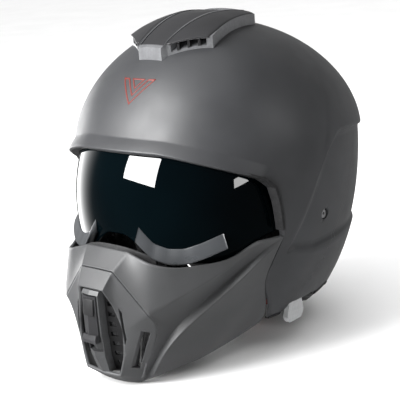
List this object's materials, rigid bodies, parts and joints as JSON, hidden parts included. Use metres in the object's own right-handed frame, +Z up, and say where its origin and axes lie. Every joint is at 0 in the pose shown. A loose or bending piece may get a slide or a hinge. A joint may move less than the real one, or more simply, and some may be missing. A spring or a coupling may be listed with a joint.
{
  "type": "motorcycle helmet",
  "caption": "Open-face motorcycle helmet with a drop-down dark sun visor, a lift-off chin mask with a vent slider, a crown vent, padded liner and a strap with a ratchet buckle.",
  "frame": {"origin": "on the surface that the chin and nape rest on, under the middle of the helmet's box", "axes": "+Z up, the face looks along -Y, +X is the wearer's left"},
  "size_m": [0.2516, 0.3273, 0.2943],
  "materials": {
    "shell_paint": "matte anthracite lacquer, fine satin grain",
    "mask_plastic": "matte anthracite moulded plastic",
    "black_plastic": "matte black moulded plastic",
    "satin_grey": "satin grey bezel",
    "dark_lens": "dark smoke polycarbonate, glossy",
    "rubber": "soft black rubber",
    "foam": "black expanded polystyrene",
    "knit": "black knit comfort lining",
    "leatherette": "black leatherette",
    "webbing": "black woven webbing",
    "steel": "bright stamped steel",
    "lever_silver": "silver grey satin",
    "red_plastic": "red moulded plastic",
    "emblem_red": "thin red orange outline"
  },
  "bodies": {
    "helmet": {"outer_shell": "shell_paint", "shell_edge_trim": "rubber", "eyeport_seal": "rubber", "emblem": "emblem_red", "top_vent_frame": "satin_grey", "top_vent_grille": "black_plastic", "rear_exhaust": "mask_plastic", "rear_exhaust_grille": "black_plastic", "impact_liner": "foam", "crown_pad": "knit", "cheek_pad_left": "knit", "cheek_pad_right": "knit", "neck_roll": "leatherette", "pivot_plate_left": "black_plastic", "pivot_plate_right": "black_plastic", "pin_washers": "steel", "side_screws": "steel", "lever_track": "black_plastic", "visor_cable": "black_plastic", "strap_left": "webbing", "strap_right": "webbing", "strap_anchors": "steel", "anchor_rivets": "steel", "buckle_housing": "steel", "ratchet_tongue": "black_plastic", "buckle_pin": "steel", "mask_catches": "steel"},
    "sun_visor": {"visor_lens": "dark_lens", "visor_hub_left": "black_plastic", "visor_hub_right": "black_plastic"},
    "visor_lever": {"visor_lever": "lever_silver"},
    "top_vent_slider": {"top_vent_slider": "mask_plastic"},
    "chin_mask": {"mask_shell": "mask_plastic", "mask_muzzle": "mask_plastic", "mask_spine": "mask_plastic", "mask_vent_mesh": "black_plastic", "mask_side_meshes": "black_plastic", "mask_lining_left": "foam", "mask_lining_right": "foam", "breath_deflector": "rubber", "mask_tabs": "black_plastic"},
    "mask_slider": {"mask_slider": "black_plastic"},
    "buckle_lever": {"buckle_lever": "red_plastic"}
  },
  "joints": [
    {"name": "visor_hinge", "type": "hinge", "parent": "helmet", "child": "sun_visor", "pos_m": [0, 0.0173, 0.132], "axis": [-1, 0, 0], "range_deg": [0, 25]},
    {"name": "visor_lever_slide", "type": "slide", "parent": "helmet", "child": "visor_lever", "axis": [0, 1, 0], "range_m": [0, 0.0176]},
    {"name": "top_vent_slide", "type": "slide", "parent": "helmet", "child": "top_vent_slider", "axis": [0, 0.9618, 0.2738], "range_m": [0, 0.005]},
    {"name": "mask_lift_off", "type": "slide", "parent": "helmet", "child": "chin_mask", "axis": [0, -1, 0], "range_m": [0, 0.12]},
    {"name": "mask_vent_slide", "type": "slide", "parent": "chin_mask", "child": "mask_slider", "axis": [0, -0.0712, -0.9975], "range_m": [0, 0.007]},
    {"name": "buckle_lever_hinge", "type": "hinge", "parent": "helmet", "child": "buckle_lever", "pos_m": [0.04116, 0.0145, 0.02459], "axis": [0, -1, 0], "range_deg": [0, 20], "stiffness_Nm_per_rad": 0.05, "springref_deg": -11.46}
  ],
  "couplings": [
    {"joint": "visor_lever_slide", "follows": "visor_hinge", "m_per_rad": 0.0403}
  ]
}
